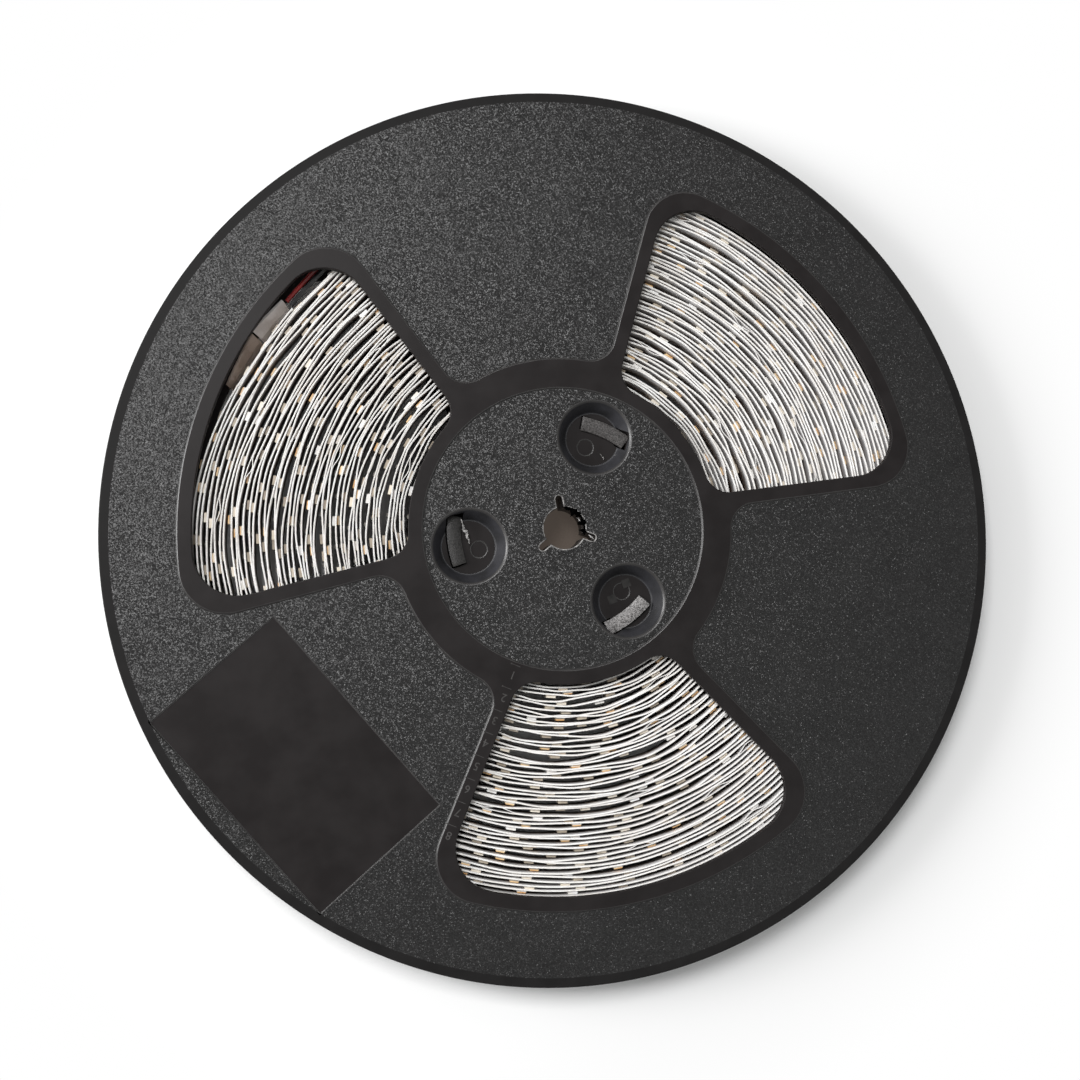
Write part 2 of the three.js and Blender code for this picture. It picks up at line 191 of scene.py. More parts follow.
# Burrs, as (start, end, width, height)
SLIVERS = (
    ((-31.2, 9.2), (-29.8, 1.0), 1.4, 11.0),
    ((5.6, 5.4), (7.0, 3.4), 0.7, 13.3),
    ((4.6, 2.4), (6.3, 0.6), 0.6, 13.2),
    ((7.0, -3.4), (8.4, -5.2), 0.6, 13.3),
    ((16.8, 21.3), (17.6, 19.2), 0.4, 9.1),
    ((21.2, 20.1), (22.2, 19.3), 0.5, 9.4),
    ((11.8, -34.6), (12.6, -35.6), 0.7, 9.6),
)
SLIVER_STEP = 0.35
SLIVER_EDGE = 0.04
SLIVER_THICKNESS = 0.3
SLIVER_LEAST = 0.25
SLIVER_SWELL = 1.5
SLIVER_WANDER = 0.5

WORN_PADS = ((16.6, -20.7), (11.2, -24.8))
WORN_PAD_WIDTH = 2.7
WORN_PAD_TURN = math.radians(55)
WORN_PAD_LIFT = 0.03

GRAIN_SIZE = 0.31
GRAIN_LEAN = 0.52

# Sizes of the wound strip

TURN_PITCH = 1.42
TURNS = 49
FIRST_TURN_RADIUS = 45.3
ROLL_RADIUS = FIRST_TURN_RADIUS + TURN_PITCH * TURNS
STRIP_END_ANGLE = math.radians(130)
FLAT_ANGLE = math.radians(132)
FLAT_HALF_WIDTH = math.radians(42)
FLAT_DEPTH = 5.5
ROLL_LOW = HALF_HEIGHT - STRIP_WIDTH / 2
ROLL_HIGH = HALF_HEIGHT + STRIP_WIDTH / 2

# How the turns wander, as (height, waves per radian, width in millimetres, seed)
BUNCHES = ((1.5, 3.2, 7.5, 0), (0.3, 9, 3, 5))
CALM_AT_CORE = 1
CALM_AT_OUTSIDE = 2
CALM_FADE = 6

# How each turn goes in and out and up and down, as (height, waves per turn, seed)
SLACK = ((0.2, 13, 4.7),)
RISES = ((0.25, 5.3, 9.1), (0.2, 40, 2.3))

CIRCUIT_THICKNESS = 0.25
CIRCUIT_STEP = 2.0
LINER_THICKNESS = 0.22
LINER_STEP = 1.25
LINER_DROP = 0.08
LINER_EDGE = ((0.15, 17, 3.3),)
LINER_FOOT = 0.2
LED_PITCH = 16.0
LED_LENGTH = 2.9
LED_WIDTH = 3.6
HIDDEN_LED_WIDTH = 6.2  # wider on the inner turns, so that their ends show between the turns
LED_HEIGHT = 0.9
LED_ROOM = 0.04
LED_STRAY = 0.4
# Tones of the LED housings: the two darker copies of the white one are painted shade for chips deep
# in the winding
LED_TONES = (0, 1, 1, 2, 2, 2)
LAMP_SHARE = 0.4
LAMP_CHANCE = 0.22
LAMP_LENGTH = 0.9 * LED_LENGTH
LAMP_INSET = 0.1
RESISTOR_SIZE = (1.2, 0.5, 4.4)
RESISTOR_DROP = 0.2

LEDS_PER_CUT = 3
PAD_SIZE = (1.8, 0.04, 1.5)
PAD_ALONG = 1.3
PAD_ACROSS = 2.2
CUT_LINE_SIZE = (0.2, 0.02, STRIP_WIDTH - 0.4)

# Where the gap to the next turn is wide, the liner waves into it
WIDE_GAP = 1.75
WAVE_CHANCE = 0.5
WAVE_SPAN = (7, 12)
WAVE_HEIGHT = 1.4
WAVE_ROOM = 0.75
WAVE_SPACING = 13
WAVE_WAIT = 9
WAVELESS_TURNS = 3


# Outlines, as lists of points that run anticlockwise

def polar(radius, angle):
    return Vector((radius * math.cos(angle), radius * math.sin(angle)))


def arc(centre, radius, start, end, step=1.0):
    count = max(4, math.ceil(abs(end - start) * radius / step))
    return [centre + polar(radius, start + (end - start) * i / count) for i in range(count + 1)]


def circle(centre, radius, step=1.0):
    return arc(centre, radius, 0, TURN, step)[:-1]


def rotated(points, angle):
    turn = Matrix.Rotation(angle, 2)
    return [turn @ point for point in points]


def mirrored(points):
    return [Vector((point.x, -point.y)) for point in reversed(points)]


def around(first, make):
    return [make(first + i * SPOKE_STEP) for i in range(SPOKES)]


def offset(points, distance):
    """The outline moved outwards by a distance."""
    moved = []
    for before, point, after in zip(points[-1:] + points[:-1], points, points[1:] + points[:1]):
        one = (point - before).normalized()
        two = (after - point).normalized()
        normal = Vector((one.y + two.y, -one.x - two.x))
        moved.append(point + normal * (2 * distance / normal.length_squared))
    return moved


AXIS = Vector((0, 0))


def heading(point):
    return math.atan2(point.y, point.x)


def beside_window(inset, reach):
    """A point on a line parallel to a window's upper side, with the window's middle on +X."""
    run = math.sqrt(reach ** 2 - inset ** 2)
    return polar(run, WINDOW_HALF_ANGLE) + polar(inset, WINDOW_HALF_ANGLE - TURN / 4)


SIDE_NORMAL = WINDOW_HALF_ANGLE + TURN / 4
FRAME_SIDE_INSET = WINDOW_SIDE_INSET - FRAME_WIDTH
FRAME_OUTER_RADIUS = WINDOW_OUTER_RADIUS + FRAME_WIDTH


def window_outline(angle):
    outer = beside_window(
        WINDOW_SIDE_INSET + WINDOW_OUTER_FILLET,
        WINDOW_OUTER_RADIUS - WINDOW_OUTER_FILLET,
    )
    inner = beside_window(
        WINDOW_SIDE_INSET + WINDOW_INNER_FILLET,
        WINDOW_INNER_RADIUS + WINDOW_INNER_FILLET,
    )
    end, start = heading(outer), heading(inner)
    upper = (
        arc(outer, WINDOW_OUTER_FILLET, end, SIDE_NORMAL)
        + arc(inner, WINDOW_INNER_FILLET, SIDE_NORMAL, start + math.pi)
    )
    points = (
        arc(AXIS, WINDOW_OUTER_RADIUS, -end, end)[1:-1]
        + upper
        + arc(AXIS, WINDOW_INNER_RADIUS, start, -start)[1:-1]
        + mirrored(upper)
    )
    return rotated(points, angle)


def frame_outline():
    outer = beside_window(
        FRAME_SIDE_INSET + FRAME_OUTER_FILLET,
        FRAME_OUTER_RADIUS - FRAME_OUTER_FILLET,
    )
    neck = beside_window(
        FRAME_SIDE_INSET - FRAME_NECK_FILLET,
        HUB_RING_RADIUS + FRAME_NECK_FILLET,
    )
    end, turn = heading(outer), heading(neck)
    upper = (
        arc(outer, FRAME_OUTER_FILLET, end, SIDE_NORMAL)
        + arc(neck, FRAME_NECK_FILLET, SIDE_NORMAL - math.pi, turn - math.pi)
    )
    sector = (
        mirrored(upper)
        + arc(AXIS, FRAME_OUTER_RADIUS, -end, end)[1:-1]
        + upper
        + arc(AXIS, HUB_RING_RADIUS, turn, SPOKE_STEP - turn)[1:-1]
    )
    return sum(around(FIRST_WINDOW, lambda angle: rotated(sector, angle)), [])


def bore_outline():
    half = KEYWAY_WIDTH / 2
    meet = math.asin(half / BORE_RADIUS)
    tip = Vector((KEYWAY_TIP_RADIUS - half, 0))
    keyway = arc(tip, half, -TURN / 4, TURN / 4, step=0.2)
    sector = keyway + arc(AXIS, BORE_RADIUS, meet, SPOKE_STEP - meet, step=0.4)
    return sum(around(FIRST_SPOKE, lambda angle: rotated(sector, angle)), [])


def label_outline():
    width, length = LABEL_WIDTH / 2, LABEL_LENGTH / 2
    corners = [(-width, -length), (width, -length), (width, length), (-width, length)]
    return rotated([Vector((LABEL_RADIUS + x, y)) for x, y in corners], LABEL_ANGLE)


def slot_outline(angle):
    """The slot with its notch, kept inside the mouth of its pocket."""
    outer = LATCH_RADIUS + LATCH_WIDTH / 2 + LATCH_CLEARANCE
    inner = LATCH_RADIUS - LATCH_WIDTH / 2 + HOOK_REACH - LATCH_CLEARANCE
    notch = LATCH_RADIUS - LATCH_WIDTH / 2 - LATCH_CLEARANCE
    start = (-LATCH_LENGTH / 2 - SLOT_END_ROOM) / LATCH_RADIUS
    end = (LATCH_LENGTH / 2 + LATCH_CLEARANCE) / LATCH_RADIUS
    shoulder = start + SLOT_NOTCH_LENGTH / LATCH_RADIUS
    points = (
        arc(AXIS, outer, start, end, step=0.5)
        + arc(AXIS, inner, end, shoulder, step=0.5)
        + arc(AXIS, notch, shoulder, start, step=0.5)
    )
    centre = polar(POCKET_CENTRE_RADIUS, angle)
    limit = POCKET_MOUTH_RADIUS - POCKET_LIP
    kept = []
    for point in rotated(points, angle - LATCH_LAG):
        out = point - centre
        kept.append(centre + out * min(1, limit / out.length))
    return kept


# Meshes

def wobble(x, y=0, z=0):
    """Smooth noise, which is between -1 and 1."""
    return noise.noise(Vector((x, y, z)))


def wavy(x, waves):
    """Waves along x, each given as (height, waves per unit, seed)."""
    return sum(height * wobble(x * often, seed) for height, often, seed in waves)


def smooth_step(value):
    value = min(max(value, 0), 1)
    return value * value * (3 - 2 * value)


class Shell:
    """A closed shell of flat faces, and of bands that follow outlines up and down."""

    def __init__(self):
        self.mesh = bmesh.new()

    def loop(self, points, height):
        return [self.mesh.verts.new((point.x, point.y, height)) for point in points]

    def bridge(self, one, two, slot):
        for i in range(len(one)):
            j = (i + 1) % len(one)
            self.mesh.faces.new((one[i], one[j], two[j], two[i])).material_index = slot

    def band(self, outline, profile, slot=0):
        """Joins parallel copies of the outline, at each (distance out, height) of the profile."""
        loops = [self.loop(offset(outline, out), height) for out, height in profile]
        for one, two in zip(loops, loops[1:]):
            self.bridge(one, two, slot)
        return loops[0], loops[-1]

    def flat(self, outer, holes=(), slot=0):
        vertices = sum([outer, *holes], [])
        loops = [[vertex.co for vertex in loop] for loop in (outer, *holes)]
        for corners in tessellate_polygon(loops):
            self.mesh.faces.new([vertices[i] for i in corners]).material_index = slot


SHARP = math.radians(38)


def finished_mesh(name, made):
    """A mesh in metres, smooth but for its sharp edges."""
    data = bpy.data.meshes.new(name)
    bmesh.ops.recalc_face_normals(made, faces=made.faces)
    bmesh.ops.scale(made, vec=(MM, MM, MM), verts=made.verts)
    made.to_mesh(data)
    made.free()
    data.shade_smooth()
    data.set_sharp_from_angle(angle=SHARP)
    return data


def add_bar(made, rings):
    """Joins rings of vertices into a bar with closed ends."""
    for one, two in zip(rings, rings[1:]):
        for i in range(len(one)):
            j = (i + 1) % len(one)
            made.faces.new((one[i], two[i], two[j], one[j]))
    made.faces.new(rings[0])
    made.faces.new(list(reversed(rings[-1])))


def evaluated_mesh(obj):
    """A new mesh of the object with its modifiers, or of its text."""
    graph = bpy.context.evaluated_depsgraph_get()
    return bpy.data.meshes.new_from_object(obj.evaluated_get(graph))


def edge_profile(top, bottom, top_fillet, foot_fillet, side=1, steps=4):
    """A wall from a flat down to a lower one, round at its edge and hollow at its foot.

    It starts and ends with a point on each flat, which keeps their shading level. The
    material is inside the outline where side is 1, and outside where it is -1.
    """
    margin = 0.08
    points = [(-top_fillet - margin, top)]
    for i in range(steps + 1):
        angle = TURN / 4 * (1 - i / steps)
        points.append((top_fillet * (math.cos(angle) - 1), top + top_fillet * (math.sin(angle) - 1)))
    if foot_fillet:
        for i in range(steps + 1):
            angle = TURN / 4 * (2 + i / steps)
            out, up = 1 + math.cos(angle), 1 + math.sin(angle)
            points.append((foot_fillet * out, bottom + foot_fillet * up))
        points.append((foot_fillet + margin, bottom))
    return [(side * out, height) for out, height in points]


def step_profile(top, bottom, side=1):
    """A low step with a sloping shoulder that catches the light."""
    return [(side * out, top + (bottom - top) * down) for out, down in STEP_SHAPE]


def through_profile(top, bottom, top_fillet, bottom_fillet, side=-1):
    """A wall through a plate, with both edges round."""
    upper = edge_profile(top, bottom, top_fillet, 0, side)
    lower = edge_profile(-bottom, -top, bottom_fillet, 0, side)
    return upper + [(out, -height) for out, height in reversed(lower)]


def add_piece(name, data, materials, slot, *nodes):
    piece = bpy.data.objects.new(name, data)
    bpy.context.scene.collection.objects.link(piece)
    for material in materials:
        data.materials.append(material)
    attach(piece, "root")
    if nodes:
        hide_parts(*nodes)
    return piece


# Materials

def set_inputs(tree, node, inputs):
    """Links a node's inputs to other nodes, or sets them to plain values."""
    for name, value in inputs.items():
        socket = node.inputs[name]
        if isinstance(value, bpy.types.NodeSocket):
            tree.links.new(value, socket)
        else:
            socket.default_value = value


def add_node(tree, kind, inputs=(), **settings):
    node = tree.nodes.new(kind)
    for name, value in settings.items():
        setattr(node, name, value)
    set_inputs(tree, node, dict(inputs))
    return node


def srgb(code):
    """A colour as (red, green, blue, alpha) from a code such as 2a2827."""
    parts = [int(code[i:i + 2], 16) / 255 for i in (0, 2, 4)]
    return tuple(c / 12.92 if c < 0.04045 else ((c + 0.055) / 1.055) ** 2.4 for c in parts) + (1,)


def new_material(name):
    made = bpy.data.materials.new(name)
    made.use_nodes = True
    tree = made.node_tree
    return made, tree, tree.nodes["Principled BSDF"]


def calculated(tree, operation, one, two):
    return add_node(tree, "ShaderNodeMath", {0: one, 1: two}, operation=operation).outputs["Value"]


def vector(tree, operation, inputs):
    return add_node(tree, "ShaderNodeVectorMath", inputs, operation=operation).outputs["Vector"]


def object_noise(tree, size, detail=2.0):
    """A noise whose features have about that size in millimetres."""
    place = add_node(tree, "ShaderNodeTexCoord").outputs["Object"]
    return add_node(tree, "ShaderNodeTexNoise", {
        "Vector": place, "Scale": 1 / (size * MM), "Detail": detail,
    }).outputs["Fac"]


def ramp(tree, value, stops):
    node = add_node(tree, "ShaderNodeValToRGB", {"Fac": value})
    elements = node.color_ramp.elements
    while len(elements) < len(stops):
        elements.new(0.5)
    for element, (place, color) in zip(elements, stops):
        element.position = place
        element.color = color if isinstance(color, tuple) else (color, color, color, 1)
    return node.outputs["Color"]


def bump(tree, height, strength, distance):
    return add_node(tree, "ShaderNodeBump", {
        "Height": height, "Strength": strength, "Distance": distance * MM,
    }).outputs["Normal"]


def finish(name, size, colors, roughness, relief, shine=0.5, **settings):
    """A material whose colour and roughness vary over patches of about that size in millimetres.

    The relief is the size of the bumps and how far they stand out. The shine is how much the
    surface reflects where it is seen straight on.
    """
    made, tree, shader = new_material(name)
    patches = object_noise(tree, size, 3.0)
    low, high = colors
    set_inputs(tree, shader, {
        "Base Color": ramp(tree, patches, [(0.35, srgb(low)), (0.65, srgb(high))]),
        "Roughness": ramp(tree, patches, [(0.3, roughness[0]), (0.7, roughness[1])]),
        "Normal": bump(tree, object_noise(tree, relief[0]), 1.0, relief[1]),
        "Specular IOR Level": shine,
        **settings,
    })
    return made


def grained_plastic():
    """Rough moulded plastic, whose grain is small facets that each lean their own way."""
    made, tree, shader = new_material("grained_plastic")
    place = add_node(tree, "ShaderNodeTexCoord").outputs["Object"]
    cells = add_node(tree, "ShaderNodeTexVoronoi", {"Vector": place, "Scale": 1 / (GRAIN_SIZE * MM)})
    lean = vector(tree, "SUBTRACT", {0: cells.outputs["Color"], 1: (0.5, 0.5, 0.5)})
    lean = vector(tree, "SCALE", {0: lean, "Scale": GRAIN_LEAN})
    relief = bump(tree, object_noise(tree, 0.5), 1.0, 0.1)
    facet = vector(tree, "ADD", {0: relief, 1: lean})
    patches = object_noise(tree, 14, 3.0)
    set_inputs(tree, shader, {
        "Base Color": ramp(tree, patches, [(0.3, srgb("191818")), (0.7, srgb("1e1d1d"))]),
        "Roughness": ramp(tree, patches, [(0.3, 0.32), (0.7, 0.38)]),
        "Specular IOR Level": 0.52,
        "Normal": vector(tree, "NORMALIZE", {0: facet}),
    })
    return made


def film_side(name, stops):
    """One side of the film or the liner, whose colour darkens from its upper edge into the winding:
    painted shade between the turns.
    """
    made, tree, shader = new_material(name)
    place = add_node(tree, "ShaderNodeUVMap").outputs["UV"]
    height = add_node(tree, "ShaderNodeSeparateXYZ", {"Vector": place}).outputs["Y"]
    stains = object_noise(tree, 9)
    shade = calculated(tree, "ADD", height, calculated(tree, "MULTIPLY", stains, 0.08))
    set_inputs(tree, shader, {
        "Base Color": ramp(tree, shade, stops),
        "Roughness": ramp(tree, stains, [(0.3, 0.4), (0.7, 0.55)]),
        "Normal": bump(tree, object_noise(tree, 0.6), 0.6, 0.02),
    })
    return made


GRAINED, SMOOTH, RIM, STEP, POCKET, WORN, LATCH = range(7)
reel_materials = [
    grained_plastic(),
    finish("smooth_plastic", 9, ("201d1d", "262323"), (0.4, 0.46), (0.6, 0.004), 0.15),
    finish("rim_plastic", 7, ("1e1d1d", "222121"), (0.5, 0.6), (0.5, 0.006), 0.1),
    # step_plastic is a lighter, glossier copy of the smooth plastic for the shoulders; its lighter
    # colour is painted highlight
    finish("step_plastic", 5, ("262424", "302e2d"), (0.36, 0.44), (0.8, 0.006), 0.8),
    # pocket_plastic is lighter than the smooth plastic so that the lit pocket walls show brighter:
    # painted light
    finish("pocket_plastic", 5, ("262628", "303034"), (0.45, 0.55), (0.8, 0.01)),
    finish("worn_edge", 1.5, ("3a3837", "a09e9c"), (0.4, 0.6), (0.4, 0.03)),
    # The three latches are one plastic in three tones: painted light and shade, lightest with painted
    # highlights on the third
    finish("first_latch", 0.45, ("2a2827", "5c5958"), (0.4, 0.5), (0.35, 0.08)),
    finish("second_latch", 0.45, ("1c1b1a", "383635"), (0.4, 0.5), (0.35, 0.08)),
    finish("third_latch", 0.45, ("3c3a39", "a29f9e"), (0.4, 0.5), (0.35, 0.08)),
]
# film_back and film_face carry painted shade that deepens below the upper edge; film_face is a
# painted-shade copy of film_outside for the inner turns
EDGE, BACK, FACE, OUTSIDE = 0, 1, 2, 3
film_materials = [
    finish("film_edge", 11, ("efebe6", "f9f8f6"), (0.35, 0.45), (0.5, 0.01)),
    film_side("film_back", [
        (0.24, srgb("180e0a")),
        (0.44, srgb("64493a")),
        (0.62, srgb("aaa09a")),
        (0.76, srgb("e8e6e4")),
        (0.86, srgb("f9f8f8")),
        (1, srgb("fbfafa")),
    ]),
    film_side("film_face", [
        (0.7, srgb("180d08")),
        (0.95, srgb("482e20")),
        (1, srgb("8c7666")),
    ]),
    finish("film_outside", 11, ("dedad2", "f4f2ef"), (0.35, 0.5), (0.5, 0.02)),
]


# The two halves of the reel

def conical_pocket(shell, angle):
    """Adds a pocket and the cup behind it, and returns the loops of its mouth and its cup."""
    centre = polar(POCKET_CENTRE_RADIUS, angle)
    mouth = circle(centre, POCKET_MOUTH_RADIUS, step=0.6)
    narrowing = POCKET_MOUTH_RADIUS - POCKET_FLOOR_RADIUS
    lip_wall = [(out, PANEL_OUTER - depth) for out, depth in POCKET_MOUTH_SHAPE]
    out, depth = POCKET_CONE_TOP
    cone_wall = [(out, PANEL_OUTER - depth)] + [
        (out - narrowing, POCKET_FLOOR + height) for out, height in POCKET_FOOT_SHAPE
    ]
    top, lip = shell.band(mouth, lip_wall, STEP)
    upper, floor = shell.band(mouth, cone_wall, POCKET)
    shell.bridge(lip, upper, POCKET)
    place = centre + polar(EJECTOR_OFFSET, angle + math.pi + EJECTOR_TURN)
    mark = edge_profile(POCKET_FLOOR, POCKET_FLOOR - EJECTOR_DEPTH, *EJECTOR_EDGES, -1, 2)
    rim, bottom = shell.band(circle(place, EJECTOR_RADIUS, step=0.4), mark, STEP)
    shell.flat(floor, [rim], SMOOTH)
    shell.flat(bottom, slot=SMOOTH)
    slope = (PANEL_INNER - POCKET_UNDERSIDE) / (PANEL_OUTER - PANEL_THICKNESS / 2 - POCKET_UNDERSIDE)
    cup = circle(centre, POCKET_FLOOR_RADIUS + POCKET_WALL)
    cup_wall = [(narrowing * slope, PANEL_INNER), (0, POCKET_UNDERSIDE)]
    cup_top, cup_bottom = shell.band(cup, cup_wall, SMOOTH)
    shell.flat(cup_bottom, slot=SMOOTH)
    return top, cup_top


def half_shell():
    """One half in its own frame, with the seam at 0 and the outer face up, without its slots."""
    shell = Shell()
    rim = through_profile(PANEL_OUTER, PANEL_INNER, RIM_BEVEL, RIM_BEVEL, 1)
    rim_top, rim_bottom = shell.band(circle(AXIS, REEL_RADIUS), rim, RIM)
    grain_edge = shell.loop(circle(AXIS, REEL_RADIUS - RIM_BAND_WIDTH), PANEL_OUTER)
    shell.flat(rim_top, [grain_edge], RIM)

    frame_top, frame_foot = shell.band(frame_outline(), step_profile(HALF_HEIGHT, PANEL_OUTER), STEP)
    label_top, label_floor = shell.band(
        label_outline(), edge_profile(PANEL_OUTER, PANEL_OUTER - LABEL_DEPTH, *LABEL_EDGES, -1), STEP,
    )
    shell.flat(grain_edge, [frame_foot, label_top], GRAINED)
    shell.flat(label_floor, slot=SMOOTH)

    window_loops = around(FIRST_WINDOW, lambda angle: shell.band(
        window_outline(angle), through_profile(HALF_HEIGHT, PANEL_INNER, *WINDOW_EDGES), SMOOTH,
    ))
    ring_top, ring_foot = shell.band(
        circle(AXIS, HUB_FACE_RADIUS), step_profile(HALF_HEIGHT, PANEL_OUTER, -1), STEP,
    )
    shell.flat(frame_top, [ring_top] + [top for top, _ in window_loops], SMOOTH)

    pocket_loops = around(FIRST_POCKET, lambda angle: conical_pocket(shell, angle))
    bore = through_profile(PANEL_OUTER, SEAM, *BORE_EDGES)
    bore_top, bore_lip = shell.band(bore_outline(), bore[:BORE_LIP_POINTS], WORN)
    bore_wall, bore_bottom = shell.band(bore_outline(), bore[BORE_LIP_POINTS:], STEP)
    shell.bridge(bore_lip, bore_wall, STEP)
    shell.flat(ring_foot, [bore_top] + [mouth for mouth, _ in pocket_loops], GRAINED)

    wall = [(0, PANEL_INNER), (0, SEAM)]
    core_outer = shell.band(circle(AXIS, CORE_RADIUS), wall, SMOOTH)
    core_inner = shell.band(circle(AXIS, CORE_INNER_RADIUS), wall, SMOOTH)
    boss = shell.band(circle(AXIS, BOSS_RADIUS, step=0.6), wall, SMOOTH)
    shell.flat(core_outer[1], [core_inner[1]], SMOOTH)
    shell.flat(boss[1], [bore_bottom], SMOOTH)
    shell.flat(rim_bottom, [core_outer[0]] + [bottom for _, bottom in window_loops], SMOOTH)
    shell.flat(core_inner[0], [boss[0]] + [cup for _, cup in pocket_loops], SMOOTH)
    return finished_mesh("half_shell", shell.mesh)


def slot_cutter():
    shell = Shell()
    for outline in around(FIRST_POCKET, slot_outline):
        bottom = shell.loop(outline, POCKET_UNDERSIDE - 1)
        top = shell.loop(outline, PANEL_OUTER + 1)
        shell.bridge(bottom, top, SMOOTH)
        shell.flat(bottom, slot=SMOOTH)
        shell.flat(top, slot=SMOOTH)
    return finished_mesh("slot_cutter", shell.mesh)


def cut(data, cutter):
    """The mesh less the cutter."""
    body = bpy.data.objects.new("body", data)
    tool = bpy.data.objects.new("tool", cutter)
    for made in (body, tool):
        bpy.context.scene.collection.objects.link(made)
    modifier = body.modifiers.new("cut", "BOOLEAN")
    modifier.operation = "DIFFERENCE"
    modifier.object = tool
    result = evaluated_mesh(body)
    for made in (body, tool):
        bpy.data.objects.remove(made)
    return result


def latch_mesh(angle):
    """A latch that hangs from the panel at the place of the other half's slot."""
    base = -POCKET_FLOOR - LATCH_CLEARANCE
    tip = base - HOOK_HEIGHT
    inner, outer = LATCH_RADIUS - LATCH_WIDTH / 2, LATCH_RADIUS + LATCH_WIDTH / 2
    section = [
        (outer, tip),
        (outer, PANEL_INNER + LATCH_ROOT),
        (inner + HOOK_REACH, PANEL_INNER + LATCH_ROOT),
        (inner + HOOK_REACH, base),
        (inner, base),
        (inner, base - HOOK_LIP),
        (LATCH_RADIUS, tip),
    ]
    made = bmesh.new()
    middle = math.pi - angle + LATCH_LAG
    rings = []
    for i in range(LATCH_STEPS + 1):
        place = middle + (i / LATCH_STEPS - 0.5) * LATCH_LENGTH / LATCH_RADIUS
        rings.append([made.verts.new((*polar(radius, place), height)) for radius, height in section])
    add_bar(made, rings)
    bmesh.ops.recalc_face_normals(made, faces=made.faces)
    sharp = [edge for edge in made.edges if edge.calc_face_angle() > math.radians(25)]
    bmesh.ops.bevel(made, geom=sharp, offset=LATCH_BEVEL, segments=2, profile=0.5, affect="EDGES")
    for face in made.faces:
        face.material_index = LATCH + round((angle - FIRST_POCKET) / SPOKE_STEP)
    return finished_mesh("latch", made)


def joined(name, meshes):
    """One mesh from several that are in metres already."""
    made = bmesh.new()
    for data in meshes:
        made.from_mesh(data)
    data = bpy.data.meshes.new(name)
    made.to_mesh(data)
    made.free()
    data.set_sharp_from_angle(angle=SHARP)
    return data


half = joined("half", [cut(half_shell(), slot_cutter()), *around(FIRST_POCKET, latch_mesh)])
lift = Matrix.Translation((0, 0, HALF_HEIGHT * MM))
front, rear = half.copy(), half.copy()
front.transform(lift)
rear.transform(lift @ Matrix.Rotation(math.pi, 4, "Y"))
add_piece("front_half", front, reel_materials, "reel_plastic", "front_flange")
add_piece("rear_half", rear, reel_materials, "reel_plastic", "rear_flange")


def frame_numbers():
    """Ticks and the numbers 1 to 8, moulded along one side of the lower window's frame, coloured
    lighter as a painted highlight.
    """
    made = bmesh.new()
    window = FIRST_WINDOW + 2 * SPOKE_STEP
    outward = polar(1, window - WINDOW_HALF_ANGLE)
    across = polar(1, window - WINDOW_HALF_ANGLE - TURN / 4)
    turn = Matrix((across, outward)).transposed().to_4x4()
    top = (2 * HALF_HEIGHT + NUMBER_HEIGHT) * MM
    for i in range(NUMBER_COUNT):
        text = bpy.data.curves.new("number", "FONT")
        text.body = str(i + 1)
        text.size = NUMBER_SIZE * MM
        text.align_x = text.align_y = "CENTER"
        text.extrude = NUMBER_HEIGHT * MM
        text.resolution_u = 2
        holder = bpy.data.objects.new("number", text)
        bpy.context.scene.collection.objects.link(holder)
        data = evaluated_mesh(holder)
        bpy.data.objects.remove(holder)
        along = FIRST_TICK + NUMBER_STEP * i
        side = -WINDOW_SIDE_INSET
        place = outward * (along + NUMBER_LEAD) + across * (side + NUMBER_ACROSS)
        data.transform(Matrix.Translation((place.x * MM, place.y * MM, 2 * HALF_HEIGHT * MM)) @ turn)
        made.from_mesh(data)
        for reach, length, width in (
            (TICK_LENGTH / 2, TICK_LENGTH, TICK_WIDTH),
            (TICK_LENGTH, TICK_DOT, TICK_DOT),
        ):
            centre = outward * along + across * (side + TICK_START + reach)
            corners = []
            for x, y in ((-1, -1), (1, -1), (1, 1), (-1, 1)):
                corner = centre + across * (x * length / 2) + outward * (y * width / 2)
                corners.append(made.verts.new((*(corner * MM), top)))
            made.faces.new(corners)
    bmesh.ops.recalc_face_normals(made, faces=made.faces)
    data = bpy.data.meshes.new("frame_numbers")
    made.to_mesh(data)
    made.free()
    return data


def torn_lip_and_painted_shadow():
    """A ragged lip left inside the bore where it was cut, coloured near black as a painted shadow of
    the bore's far wall.
    """
    made = bmesh.new()
    start, end = TORN_ANGLES
    height = 2 * HALF_HEIGHT - FRAME_HEIGHT + TORN_LIFT
    low = height - TORN_THICKNESS
    rings = []
    for i in range(TORN_STEPS + 1):
        share = i / TORN_STEPS
        angle = start + (end - start) * share
        fade = smooth_step(6 * share) * smooth_step(6 * (1 - share))
        rough = wavy(angle, TORN_INNER_WAVES)
        inner = BORE_RADIUS - fade * max(TORN_LEAST, TORN_REACH * (TORN_EVENNESS + rough))
        outer = BORE_RADIUS + fade * (TORN_BACK + wavy(angle, TORN_OUTER_WAVES))
        tip = height - TORN_SAG + TORN_CURL * rough
        section = [(outer, low), (outer, height), (inner, tip), (inner, low)]
        rings.append([made.verts.new((*polar(radius, angle), z)) for radius, z in section])
    add_bar(made, rings)
    return finished_mesh("torn_lip_and_painted_shadow", made)


